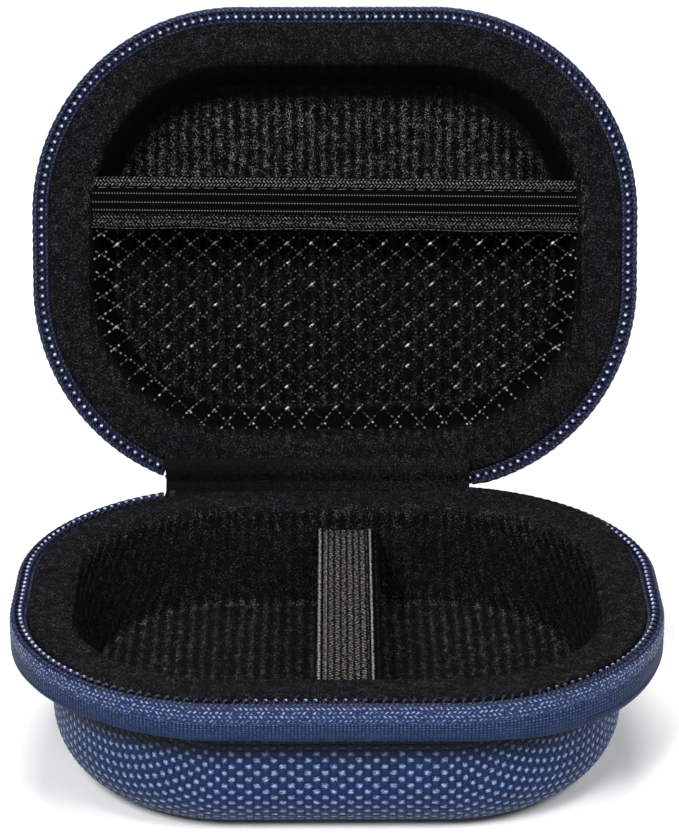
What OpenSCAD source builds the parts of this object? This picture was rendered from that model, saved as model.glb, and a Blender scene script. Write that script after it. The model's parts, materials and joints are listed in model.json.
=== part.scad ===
// Zip-up moulded hard case for wireless earbuds, lying with its lid open.
// Frame: origin at the centre of the base's flat bottom, +X to the right, +Y towards the hinge, +Z up.
// The two halves share one section, drawn as (inset from the zip coil's line, height from the rim
// plane) and swept round a rounded rectangle. The base uses it as drawn, and the lid uses it mirrored.

/* [Outline] */
// Width across the zip coil's line, side to side
coil_w = 97.2; // [92:0.1:104]
// Depth across the zip coil's line, hinge to front
coil_d = 77.2; // [74:0.1:86]
// Corner radius of the zip coil's line
corner_r = 32.7; // [30:0.1:34]

/* [Base] */
// Height of the base, bottom to rim plane
base_h = 27; // [25:0.5:32]
// Depth of the base's hollow below the rim plane
base_hollow = 16.5; // [14:0.5:17]
// Radius of the base's bottom edge
base_edge_r = 11; // [8:0.5:11]

/* [Lid] */
// Height of the lid, rim plane to top
lid_h = 21; // [20:0.5:28]
// Depth of the lid's hollow
lid_hollow = 16; // [13:0.5:16]
// Radius of the lid's top edge
lid_edge_r = 10; // [7:0.5:10]
// Angle that the lid stands open
open_angle = 106; // [90:1:110]

/* [Layers] */
// Thickness of the woven outer cover
cover_t = 0.6; // [0.4:0.1:0.8]
// Thickness of the knitted lining
lining_t = 0.8; // [0.6:0.1:1]
// Inset of the body's wall under the flange
wall_d = 4.4; // [4:0.1:4.8]
// Inset of the hollow's lip
lip_d = 8.5; // [8.2:0.1:9]

/* [Strap] */
// Width of the elastic strap in the base
strap_w = 10; // [8:0.5:14]
// Place of the strap's centre along X
strap_x = 1.7; // [-4:0.1:4]
// Depth of the strap's top face below the rim plane
strap_drop = 4; // [3.5:0.1:6]

/* [Pocket] */
// Height of the elastic band along the pocket's mouth
band_w = 8.8; // [6:0.2:10]
// Distance from the hinge line to the band's upper edge
band_reach = 50.8; // [46:0.2:54]

/* [Zip] */
// Where the zip stops on the left of the hinge
zip_end_left = 27.5; // [27:0.1:30]
// Where the zip stops on the right of the hinge
zip_end_right = 25; // [24.5:0.1:30]

/* [Hidden] */

$fn = 48;
ARC_STEPS = 8;              // straight steps in a quarter turn of a section

// Plan of the coil's line: the axes of its four corners
axis_x = coil_w / 2 - corner_r;
axis_y = coil_d / 2 - corner_r;

// Rim section
rim_gap = 0.3;              // from the rim plane to the lining's crown
flange_edge = -0.5;         // inset of the foam flange's outer edge
flange_z = -6;              // underside of the flange
flange_fillet = 1.2;        // fillet between flange and wall
wall_draft = 0.5;           // how far the wall leans in over its height
groove_d = 1.9;             // inset of the lining's outer edge
tape_edge = -1.35;          // inset of the zip tape's outer face
tape_base_z = -1.3;         // top of the zip tape under the coil
tape_round = 0.8;           // radius of the tape's turn over the rim
tape_foot_z = -5;           // lower edge of the tape, under the binding
seam_d = -1;                // inset of the seam between binding and tape
seam_z = -3.3;              // height of that seam
binding_edge = -1.4;        // inset of the binding's outer face
binding_z = -6.5;           // underside of the binding
binding_r = 1.1;            // radius of the binding's lower edge
binding_in = 2.4;           // inset of the binding's inner edge, under the flange
lip_r = 2.5;                // radius of the hollow's lip
lip_start = lip_d - lip_r;  // inset at which the lip begins to turn down
hollow_lean = 2.5;          // how far the hollow's wall leans in over its depth
hollow_corner = 1.2;        // size of the corner between wall and floor
coil_r = 0.5;               // radius of the coil
coil_z = -0.75;             // height of the coil's centre
thread_r = 0.14;            // radius of the seam thread
thread_d = -1.29;           // inset of the seam thread, in the notch of the seam
thread_z = -3.325;          // height of the seam thread

// Pad under the base's floor
foam_floor_t = 3.4;         // foam left below the pad
pad_d = 14.5;               // inset of the pad's edge

// Hinge
hinge_y = coil_d / 2 + 0.2; // the lid turns about this line at rim height
hinge_cut_y = hinge_y - 1.1; // the flange is trimmed back to here along the hinge
rim_zone = 12;              // height of the cuts made along the hinge, either side of the rim plane
strip_t = 0.6;              // thickness of the outer hinge strip
strip_left = -26.5;         // left end of the hinge strips
strip_right = 23.5;         // right end of the hinge strips
strip_low = -7.2;           // lower edge of the outer strip
strip_top = -0.6;           // upper edge of the outer strip, where it folds
inner_strip_t = 1.15;       // thickness of the inner strip's wing on the lid
inner_strip_w = 0.9;        // width of that wing

// Strap
strap_t = 1;                // thickness of the strap
strap_end = 1.3;            // how far each end is tucked into the wall
strap_half_l = coil_d / 2 - lip_d + strap_end;
slot_slack = 0.1;           // room round the strap in its slots

// Pocket
sheet_d = lip_d + 0.15;     // inset at which the pocket's sheet meets the wall
sheet_z = -3.2;             // height of the middle of the sheet
sheet_t = 0.6;              // thickness of the sheet
band_t = 1.1;               // thickness of the elastic band
band_low_y = hinge_y - band_reach + band_w;
band_overlap = 2;           // how far the sheet runs up under the band
pocket_low = -8;            // anything lower is clear of the pocket
stitch_l = 76;              // length of the stitch rows on the band
stitch_rows = [1.4, band_w - 1.2]; // distance of the rows from the band's lower edge

// Slider, hanging on the tape's tail behind the base's right back corner
tail_x = 20.5;              // middle of the tail along the hinge
tail_y = 41.9;              // middle of the tail's thickness
tail_w = 7;                 // width over the tail's two tapes
tail_slit = 2.4;            // gap between the tail's two tapes
tail_t = 0.8;               // thickness of the tail
tail_top = -2.2;            // height at which the tail leaves the hinge
tail_bottom = -17;          // lower end of the tail
slider_w = 7.4;             // width of the slider's shoulders
slider_foot_w = 5.6;        // width of its foot
slider_l = 8.6;             // length of the slider
slider_top = -6.2;          // height of its upper end
post_w = 2;                 // width and height of the post that joins its two plates
plate_t = 0.9;              // thickness of each plate
plate_gap = 1.5;            // inside gap between the two plates
plate_corner = 1.2;         // corner radius of the plates
bridge_w = 2;               // width of the bridge
bridge_t = 0.7;             // thickness of the bridge
bridge_half = 2.3;          // half the bridge's length
bridge_rise = 2.7;          // height of the bridge over the plate
tab_w = 5;                  // width of the pull tab
tab_l = 13;                 // length of the tab, pivot to tip
tab_t = 1;                  // thickness of the tab
tab_window = 2.6;           // width of the window that the bridge passes through
tab_hole_r = 0.9;           // radius of the hole near the tab's tip
tab_hole_up = 2.4;          // height of that hole over the tip
pin_r = 0.5;                // radius of the bar that the tab turns on
plate_face_y = tail_y + plate_gap / 2 + plate_t;
pin_y = plate_face_y + 1.1;
pin_z = slider_top - 3.2;
stop_t = 1.2;               // thickness of the zip's two stops
stop_w = 0.9;               // width of the stop at the closed end

NAVY = [0.10, 0.15, 0.34];
STEEL_BLUE = [0.30, 0.40, 0.62];
CHARCOAL = [0.13, 0.13, 0.14];
BLACK = [0.05, 0.05, 0.06];
GREY = [0.34, 0.34, 0.35];
FOAM = [0.22, 0.22, 0.24];

// ---- Sections, as lists of [inset, height] ----

function arc(c, r, from, to, steps = ARC_STEPS) =
    [for (i = [0:steps]) let (a = from + (to - from) * i / steps) c + r * [cos(a), sin(a)]];

// Outer face of the body from the flange's edge to the middle, set in by t from the cover's face
function body_face(h, edge_r, t) = concat(
    [[flange_edge, flange_z + t]],
    arc([wall_d - flange_fillet, flange_z - flange_fillet], flange_fillet + t, 90, 0, 4),
    arc([wall_d + wall_draft + edge_r, edge_r - h], edge_r - t, 180, 270),
    [[corner_r, t - h]]
);

// Underside of the lining from the floor's corner to the flange's edge
function lining_back(hollow) = concat(
    [[lip_d + hollow_lean - lining_t + 0.2, -hollow - lining_t]],
    arc([lip_start, -rim_gap - lip_r], lip_r - lining_t, 0, 90),
    [[groove_d, -rim_gap - lining_t - 0.4]]
);

// Visible face of the lining from the flange's edge to the middle of the floor
function lining_face(hollow) = concat(
    arc([groove_d + 0.8, -rim_gap - 0.8], 0.8, 180, 90, 4),
    arc([lip_start, -rim_gap - lip_r], lip_r, 90, 0),
    [
        [lip_d + hollow_lean, -hollow + hollow_corner],
        [lip_d + hollow_lean + 0.3, -hollow + hollow_corner * 0.4],
        [lip_d + hollow_lean + hollow_corner, -hollow],
        [corner_r, -hollow]
    ]
);

function reverse(list) = [for (i = [len(list) - 1:-1:0]) list[i]];

function cover_section(h, edge_r) =
    concat(body_face(h, edge_r, 0), reverse(body_face(h, edge_r, cover_t)));

// Foam between cover and lining; inner is the outline of the foam's floor
function foam_section(h, edge_r, hollow, inner) = concat(
    body_face(h, edge_r, cover_t),
    inner,
    lining_back(hollow),
    [[flange_edge + 0.8, -rim_gap - lining_t - 0.4], [flange_edge, -rim_gap - lining_t - 1.2]]
);

function lining_section(hollow) = concat(
    lining_face(hollow),
    [[corner_r, -hollow - lining_t]],
    lining_back(hollow)
);

function tape_section() = concat(
    [
        [groove_d - 0.2, tape_base_z - 0.2], [groove_d - 0.2, tape_base_z],
        [tape_edge + tape_round, tape_base_z]
    ],
    arc([tape_edge + tape_round, tape_base_z + 0.05], tape_round, 90, 180, 5),
    [
        [tape_edge, seam_z + 0.2], [seam_d, seam_z], [seam_d, tape_foot_z], [flange_edge, tape_foot_z],
        [flange_edge, -rim_gap - lining_t - 1.2], [flange_edge + 0.8, tape_base_z - 0.2]
    ]
);

function binding_section() = concat(
    [[seam_d, seam_z], [binding_edge, seam_z - 0.3]],
    arc([binding_edge + binding_r, binding_z + binding_r], binding_r, 180, 270, 6),
    [
        [binding_in, binding_z], [binding_in, flange_z], [flange_edge, flange_z],
        [flange_edge, tape_foot_z], [seam_d, tape_foot_z]
    ]
);

// ---- Sweeps ----

module section(points) {
    polygon([for (p = points) [corner_r - p[0], p[1]]]);
}

// Sweeps a section round the outline: four corners and four straight runs
module round_outline() {
    for (k = [0:3]) {
        sx = (k == 0 || k == 3) ? 1 : -1;
        sy = (k < 2) ? 1 : -1;
        translate([sx * axis_x, sy * axis_y, 0])
            rotate([0, 0, 90 * k])
                rotate_extrude(angle = 90) children();
    }
    for (turn = [0, 180]) rotate([0, 0, turn]) {
        translate([0, axis_y, 0])
            rotate([90, 0, 90])
                linear_extrude(height = 2 * axis_x, center = true) children();
        translate([axis_x, 0, 0])
            rotate([90, 0, 0])
                linear_extrude(height = 2 * axis_y, center = true) children();
    }
}

// The flat slab inside the four corner axes
module middle_slab(low, high) {
    translate([-axis_x, -axis_y, low]) cube([2 * axis_x, 2 * axis_y, high - low]);
}

// Rounded rectangle plate at an inset from the coil's line
module plate(inset, low, high) {
    r = corner_r - inset;
    translate([0, 0, low]) linear_extrude(height = high - low) {
        for (sx = [-1, 1], sy = [-1, 1]) translate([sx * axis_x, sy * axis_y]) circle(r, $fn = 96);
        square([2 * (axis_x + r), 2 * axis_y], center = true);
        square([2 * axis_x, 2 * (axis_y + r)], center = true);
    }
}

// Space between the zip's two ends, from a given y backwards
module behind(y) {
    translate([-zip_end_left, y, -rim_zone])
        cube([zip_end_left + zip_end_right, coil_d, 2 * rim_zone]);
}

// Space kept free along the hinge, from the trimmed flange outwards
module hinge_trim() {
    behind(hinge_cut_y);
}

// Where tape, coil and binding are left out
module zip_gap() {
    behind(axis_y);
}

module base_place() {
    translate([0, 0, base_h]) children();
}

module lid_place() {
    translate([0, hinge_y, base_h])
        rotate([-open_angle, 0, 0])
            translate([0, -hinge_y, 0])
                mirror([0, 0, 1]) children();
}

// ---- Parts of either half, drawn below the rim plane ----

module half_cover(h, edge_r) {
    color(NAVY) difference() {
        union() {
            round_outline() section(cover_section(h, edge_r));
            middle_slab(-h, cover_t - h);
        }
        hinge_trim();
    }
}

module half_foam(h, edge_r, hollow, inner, slab_top) {
    color(FOAM) difference() {
        union() {
            round_outline() section(foam_section(h, edge_r, hollow, inner));
            middle_slab(cover_t - h, slab_top);
        }
        hinge_trim();
    }
}

module half_lining(hollow) {
    color(CHARCOAL) union() {
        round_outline() section(lining_section(hollow));
        middle_slab(-hollow - lining_t, -hollow);
    }
}

module half_tape() {
    color(NAVY) difference() {
        round_outline() section(tape_section());
        zip_gap();
    }
}

module half_binding() {
    color(STEEL_BLUE) difference() {
        round_outline() section(binding_section());
        zip_gap();
    }
}

module half_bead(inset, z, r) {
    difference() {
        round_outline() translate([corner_r - inset, z]) circle(r, $fn = 32);
        zip_gap();
    }
}

// Slots in the base's wall for the strap's two ends
module strap_slots() {
    translate([strap_x, 0, -strap_drop - strap_t / 2])
        cube([strap_w + 2 * slot_slack, 2 * strap_half_l, strap_t + 2 * slot_slack], center = true);
}

// Rounded trapezium, w wide at the top and foot_w at the foot, its top edge at y = 0
function shield(w, foot_w, l, r) = concat(
    arc([w / 2 - r, -r], r, 90, 0, 6),
    arc([foot_w / 2 - r, r - l], r, 0, -90, 6),
    arc([r - foot_w / 2, r - l], r, -90, -180, 6),
    arc([r - w / 2, -r], r, 180, 90, 6)
);

// Stands a drawing up in the XZ plane, t thick in +Y
module upright(t) {
    translate([0, t, 0]) rotate([90, 0, 0]) linear_extrude(height = t) children();
}

// ---- Base ----

module base_cover() {
    base_place() half_cover(base_h, base_edge_r);
}

module base_foam_shell() {
    foam_floor = cover_t + foam_floor_t - base_h;
    inner = [[corner_r, foam_floor], [pad_d, foam_floor], [pad_d, -base_hollow - lining_t]];
    base_place() difference() {
        half_foam(base_h, base_edge_r, base_hollow, inner, foam_floor);
        strap_slots();
    }
}

module base_floor_pad() {
    base_place() color(BLACK)
        plate(pad_d, cover_t + foam_floor_t - base_h, -base_hollow - lining_t);
}

module base_lining() {
    base_place() difference() {
        half_lining(base_hollow);
        strap_slots();
    }
}

module base_edge_binding() {
    base_place() half_binding();
}

module base_zip_tape() {
    base_place() half_tape();
}

module base_zip_coil() {
    base_place() color(BLACK) half_bead(0, coil_z, coil_r);
}

module base_seam_thread() {
    base_place() color(NAVY) half_bead(thread_d, thread_z, thread_r);
}

module base_elastic_strap() {
    base_place() color(GREY)
        translate([strap_x, 0, -strap_drop - strap_t / 2])
            cube([strap_w, 2 * strap_half_l, strap_t], center = true);
}

// ---- Lid ----

module lid_cover() {
    lid_place() half_cover(lid_h, lid_edge_r);
}

module lid_foam_shell() {
    foam_floor = -lid_hollow - lining_t;
    lid_place() half_foam(lid_h, lid_edge_r, lid_hollow, [[corner_r, foam_floor]], foam_floor);
}

module lid_lining() {
    lid_place() half_lining(lid_hollow);
}

module lid_edge_binding() {
    lid_place() half_binding();
}

module lid_zip_tape() {
    lid_place() half_tape();
}

module lid_zip_coil() {
    lid_place() color(BLACK) half_bead(0, coil_z, coil_r);
}

module lid_seam_thread() {
    lid_place() color(NAVY) half_bead(thread_d, thread_z, thread_r);
}

// The net's sheet, from under the band to the hollow's wall
module pocket_mesh() {
    lid_place() color(BLACK) intersection() {
        plate(sheet_d, sheet_z - sheet_t / 2, sheet_z + sheet_t / 2);
        translate([-coil_w / 2, band_low_y - band_overlap, pocket_low])
            cube([coil_w, coil_d, -pocket_low]);
    }
}

module pocket_elastic_band() {
    lid_place() color(GREY) intersection() {
        plate(lip_d, sheet_z + sheet_t / 2, sheet_z + sheet_t / 2 + band_t);
        translate([-coil_w / 2, band_low_y - band_w, pocket_low])
            cube([coil_w, band_w, -pocket_low]);
    }
}

module pocket_band_stitches() {
    lid_place() color(GREY)
        for (row = stitch_rows)
            translate([0, band_low_y - row, sheet_z + sheet_t / 2 + band_t + thread_r])
                rotate([0, 90, 0]) cylinder(h = stitch_l, r = thread_r, center = true);
}

// ---- Hinge ----

module half_outer_strip() {
    color(NAVY) translate([strip_left, hinge_cut_y, strip_low])
        cube([strip_right - strip_left, strip_t, strip_top - strip_low]);
}

module hinge_outer_strip_base() {
    base_place() half_outer_strip();
}

module hinge_outer_strip_lid() {
    lid_place() half_outer_strip();
}

module hinge_inner_strip_lid() {
    lid_place() color(BLACK)
        translate([strip_left, coil_d / 2 - groove_d + 0.05, tape_base_z - 0.2])
            cube([strip_right - strip_left, inner_strip_w, inner_strip_t]);
}

// ---- Zip ends, slider and pull ----

module zip_closed_end_stop() {
    stop_x = zip_end_left - axis_x - stop_w / 2;
    stop_y = axis_y + sqrt(corner_r * corner_r - stop_x * stop_x);
    base_place() color(NAVY)
        translate([-zip_end_left, stop_y - stop_t / 2, tape_base_z - 0.2])
            cube([stop_w, stop_t, stop_t]);
}

module zip_tape_tail() {
    tape_w = (tail_w - tail_slit) / 2;
    base_place() color(NAVY) for (side = [-1, 1])
        translate([tail_x + side * (tail_slit + tape_w) / 2 - tape_w / 2, 0, 0]) {
            translate([0, tail_y - tail_t / 2, tail_bottom])
                cube([tape_w, tail_t, tail_top - tail_bottom]);
            translate([0, hinge_cut_y + strip_t, tail_top - tail_t])
                cube([tape_w, tail_y - hinge_cut_y - strip_t, tail_t]);
        }
}

module zip_tail_stop() {
    base_place() color(NAVY)
        translate([tail_x - tail_slit / 2, tail_y - stop_t / 2, tail_bottom + tail_t / 2])
            cube([tail_slit, stop_t, stop_t]);
}

module slider_body() {
    outline = shield(slider_w, slider_foot_w, slider_l, plate_corner);
    base_place() color(NAVY) translate([tail_x, tail_y, slider_top]) {
        for (y = [-plate_gap / 2 - plate_t, plate_gap / 2])
            translate([0, y, 0]) upright(plate_t) polygon(outline);
        translate([-post_w / 2, -plate_gap / 2 - plate_t / 2, -1.2 * post_w])
            cube([post_w, plate_gap + plate_t, post_w]);
    }
}

// Arch on the slider's outer plate, open underneath for the pull's crossbar
module slider_bridge() {
    base_place() color(NAVY) translate([tail_x, plate_face_y, pin_z]) difference() {
        translate([-bridge_w / 2, 0, -bridge_half]) cube([bridge_w, bridge_rise, 2 * bridge_half]);
        translate([-bridge_w, -1, bridge_t - bridge_half])
            cube([2 * bridge_w, 1 + bridge_rise - bridge_t, 2 * (bridge_half - bridge_t)]);
    }
}

// Flat tab with a window at its head, whose top bar is the pivot under the bridge
module pull_tab() {
    window_l = bridge_half + 0.5;
    base_place() color(NAVY) translate([tail_x, pin_y, pin_z]) {
        difference() {
            translate([0, -tab_t / 2, 0]) upright(tab_t)
                polygon(shield(tab_w, tab_w, tab_l, 1));
            translate([-tab_window / 2, -tab_t, -window_l]) cube([tab_window, 2 * tab_t, window_l + 1]);
            translate([0, -tab_t, tab_hole_up - tab_l])
                rotate([-90, 0, 0]) cylinder(h = 2 * tab_t, r = tab_hole_r);
        }
        rotate([0, 90, 0]) cylinder(h = tab_w - 1, r = pin_r, center = true);
    }
}

base_cover();
base_foam_shell();
base_floor_pad();
base_lining();
base_edge_binding();
base_zip_tape();
base_zip_coil();
base_seam_thread();
base_elastic_strap();
lid_cover();
lid_foam_shell();
lid_lining();
lid_edge_binding();
lid_zip_tape();
lid_zip_coil();
lid_seam_thread();
pocket_mesh();
pocket_elastic_band();
pocket_band_stitches();
hinge_outer_strip_base();
hinge_outer_strip_lid();
hinge_inner_strip_lid();
zip_closed_end_stop();
zip_tape_tail();
zip_tail_stop();
slider_body();
slider_bridge();
pull_tab();
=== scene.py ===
"""Looks of a zip-up moulded hard case for wireless earbuds, standing open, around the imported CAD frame.

Both halves share one section, given as (inset from the zip coil's line, height from the rim plane) in
millimetres and swept round a rounded rectangle. The base is placed as drawn and the lid is mirrored and
turned open about the hinge. Lengths are millimetres until a mesh is made.
"""

import json
import math

import bpy
import numpy as np
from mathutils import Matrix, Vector


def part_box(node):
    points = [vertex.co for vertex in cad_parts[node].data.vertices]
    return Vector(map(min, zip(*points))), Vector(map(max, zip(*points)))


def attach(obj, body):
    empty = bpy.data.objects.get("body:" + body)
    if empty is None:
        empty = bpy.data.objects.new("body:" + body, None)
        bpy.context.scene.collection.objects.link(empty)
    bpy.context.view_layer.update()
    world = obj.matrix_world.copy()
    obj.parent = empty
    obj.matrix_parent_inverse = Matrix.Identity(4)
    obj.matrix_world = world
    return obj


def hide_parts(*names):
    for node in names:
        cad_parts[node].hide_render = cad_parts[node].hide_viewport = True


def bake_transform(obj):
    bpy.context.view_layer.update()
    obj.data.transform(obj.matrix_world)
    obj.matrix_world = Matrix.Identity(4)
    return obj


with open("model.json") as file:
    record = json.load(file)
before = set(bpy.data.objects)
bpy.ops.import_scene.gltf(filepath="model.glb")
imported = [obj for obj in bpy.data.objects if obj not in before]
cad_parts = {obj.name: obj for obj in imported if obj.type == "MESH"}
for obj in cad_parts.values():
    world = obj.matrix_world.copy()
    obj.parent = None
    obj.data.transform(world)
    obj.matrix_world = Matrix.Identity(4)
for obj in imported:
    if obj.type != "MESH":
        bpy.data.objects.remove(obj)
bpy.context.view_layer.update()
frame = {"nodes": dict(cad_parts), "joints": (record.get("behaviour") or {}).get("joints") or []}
rng = np.random.default_rng(11)

MM = 0.001

# ---- Sizes, from the frame and from the part's section ----

hinge = next(j for j in frame["joints"] if j["name"] == "lid_hinge")
HINGE_Y = hinge["pos_m"][1] / MM
RIM_Z = hinge["pos_m"][2] / MM
OPEN = math.radians(-hinge["range_deg"][0])

COIL_R = 0.5
HALF_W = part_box("base_zip_coil")[1].x / MM - COIL_R
HALF_D = -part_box("base_zip_coil")[0].y / MM - COIL_R
CORNER_R = 32.7
CORE_X = HALF_W - CORNER_R
CORE_Y = HALF_D - CORNER_R

# Cloth, heights, hollows and edge radii of the two halves
LINING_T = 0.8
COVER_T = 0.6
BASE_H = RIM_Z
BASE_HOLLOW = RIM_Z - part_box("base_lining")[0].z / MM - LINING_T
BASE_EDGE_R = 11
LID_H = 21
LID_HOLLOW = 16
LID_EDGE_R = 10

# Section: insets from the coil's line (D, EDGE), heights from the rim plane (Z), radii and gaps
WALL_D = 4.4
FLANGE_Z = -6
FILLET = 1.2
DRAFT = 0.5
LIP_D = 8.5
LIP_R = 2.5
FLOOR_TURN_R = 1.3
RIM_GAP = 0.3
LEAN = 2.5
LINING_EDGE = 1.25
COIL_Z = -0.75
TAPE_EDGE = -1.35
BINDING_EDGE = -1.4
BINDING_Z = -6.5
SEAM_Z = -3.3

# Plane to which the covers are cut behind the hinge, and the ends in x of zip, tape and hinge strips
HINGE_CUT_Y = HINGE_Y - 1.1
ZIP_LEFT = -27.5
ZIP_RIGHT = 25
TAPE_END_LEFT = -28.2
TAPE_END_RIGHT = 21.6
STRIP_LEFT = -28.7
STRIP_RIGHT = 22.2

# Trims
COIL_PITCH = 1.43
RIB_PITCH = 1.95
BAND_W = 8.8
BAND_REACH = 50.8
BAND_LOW_Y = HINGE_Y - BAND_REACH + BAND_W

# Distances along the cloth from the outline's corner axes
FLANGE_RUN = 37.0
LIP_RUN = 32.5
FLOOR_RUN = 21.6
# Near this run the covers get a painted shadow under the binding.
BINDING_SHADOW_RUN = 40.7

# Spacing of the mesh along the outline, and the inset at which it holds in the corners
COVER_STEP = 0.25
LINING_STEP = 0.33
RING_INSET = 5.0


# ---- Outline and sections ----

quarter = math.pi / 2 * CORNER_R
knots = np.cumsum(
    [-CORE_X, 2 * CORE_X, quarter, 2 * CORE_Y, quarter, 2 * CORE_X, quarter, 2 * CORE_Y, quarter]
)
knot_x = CORE_X * np.array([-1, 1, 1, 1, 1, -1, -1, -1, -1])
knot_y = CORE_Y * np.array([1, 1, 1, -1, -1, -1, -1, 1, 1])
knot_angle = np.radians([90, 90, 0, 0, -90, -90, -180, -180, -270])


def outline(t):
    """Core point and outward normal at distance t along the coil's line from the middle of the back."""
    core = np.stack([np.interp(t, knots, knot_x), np.interp(t, knots, knot_y)], -1)
    angle = np.interp(t, knots, knot_angle)
    return core, np.stack([np.cos(angle), np.sin(angle)], -1)


def arc(centre, radius, start, end, steps=24):
    a = np.radians(np.linspace(start, end, steps))
    return [(centre[0] + radius * math.cos(x), centre[1] + radius * math.sin(x)) for x in a]


def resample(points, spacing):
    """Points spaced evenly along a polyline."""
    p = np.array(points, float)
    along = np.concatenate([[0], np.cumsum(np.linalg.norm(np.diff(p, axis=0), axis=1))])
    n = max(2, round(along[-1] / spacing) + 1)
    s = np.linspace(0, along[-1], n)
    return np.stack([np.interp(s, along, p[:, 0]), np.interp(s, along, p[:, 1])], -1)


def body_face(height, edge_r, inside=0.0):
    """Outer face of a half from under the flange to the middle of its flat."""
    return (
        [(-0.3, FLANGE_Z + inside)]
        + arc((WALL_D - FILLET, FLANGE_Z - FILLET), FILLET + inside, 90, 0, 8)
        + arc((WALL_D + DRAFT + edge_r, edge_r - height), edge_r - inside, 180, 270)
    )


def lining_face(hollow, inside=0.0):
    """Visible face of the lining from its outer edge to the corner of the floor."""
    top = -RIM_GAP - inside
    wall = LIP_D + LEAN
    return (
        arc((LINING_EDGE + 0.8, top - 0.8), 0.8, 180, 90, 8)
        + arc((LIP_D - LIP_R, -RIM_GAP - LIP_R), LIP_R - inside, 90, 0)
        + arc((wall + FLOOR_TURN_R - inside, FLOOR_TURN_R - hollow - inside), FLOOR_TURN_R, 180, 270, 8)
    )


# ---- Meshes ----


def place_base(p):
    return (np.asarray(p, float) + [0, 0, RIM_Z]) * MM


def turned(points, share):
    """Closed-lid points, heights from the rim, turned about the hinge by a share of its opening."""
    y, z = points[..., 1] - HINGE_Y, points[..., 2]
    c, s = np.cos(OPEN * share), np.sin(OPEN * share)
    return np.stack([points[..., 0], HINGE_Y + y * c + z * s, RIM_Z - y * s + z * c], -1) * MM


def place_lid(p):
    return turned(np.asarray(p, float) * [1, 1, -1], 1.0)


def linked(name, data):
    obj = bpy.data.objects.new(name, data)
    bpy.context.scene.collection.objects.link(obj)
    return obj


def make(name, verts, faces, material, body, uv=None, nodes=()):
    """A piece from vertices in metres and a list of index arrays, one for each number of corners."""
    verts = np.asarray(verts, float).reshape(-1, 3)
    faces = [np.asarray(f, int) for f in faces if len(f)]
    volume = 0.0
    for f in faces:
        for k in range(1, f.shape[1] - 1):
            a, b, c = verts[f[:, 0]], verts[f[:, k]], verts[f[:, k + 1]]
            volume += np.einsum("ij,ij->", a, np.cross(b, c))
    if volume < 0:
        faces = [f[:, ::-1] for f in faces]
    corners = np.concatenate([f.ravel() for f in faces])
    sizes = np.concatenate([np.full(len(f), f.shape[1]) for f in faces])
    mesh = bpy.data.meshes.new(name)
    mesh.vertices.add(len(verts))
    mesh.vertices.foreach_set("co", verts.astype(np.float32).ravel())
    mesh.loops.add(len(corners))
    mesh.loops.foreach_set("vertex_index", corners.astype(np.int32))
    mesh.polygons.add(len(sizes))
    mesh.polygons.foreach_set("loop_start", (np.cumsum(sizes) - sizes).astype(np.int32))
    if uv is not None:
        layer = mesh.uv_layers.new(name="cloth")
        layer.data.foreach_set("uv", np.asarray(uv, np.float32).reshape(-1, 2)[corners].ravel())
    mesh.update(calc_edges=True)
    mesh.validate()
    mesh.polygons.foreach_set("use_smooth", np.full(len(mesh.polygons), True))
    obj = linked(name, mesh)
    mesh.materials.append(material)
    if body:
        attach(obj, body)
    if nodes:
        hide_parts(*nodes)
    return obj


def grid_quads(rows, cols, wrap_cols=False):
    """Quads over a grid of vertices stored row by row."""
    r = np.arange(rows - 1)
    c = np.arange(cols if wrap_cols else cols - 1)
    r, c = (x.ravel() for x in np.meshgrid(r, c, indexing="ij"))
    r2, c2 = r + 1, (c + 1) % cols
    return np.stack([r * cols + c, r * cols + c2, r2 * cols + c2, r2 * cols + c], -1)


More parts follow.
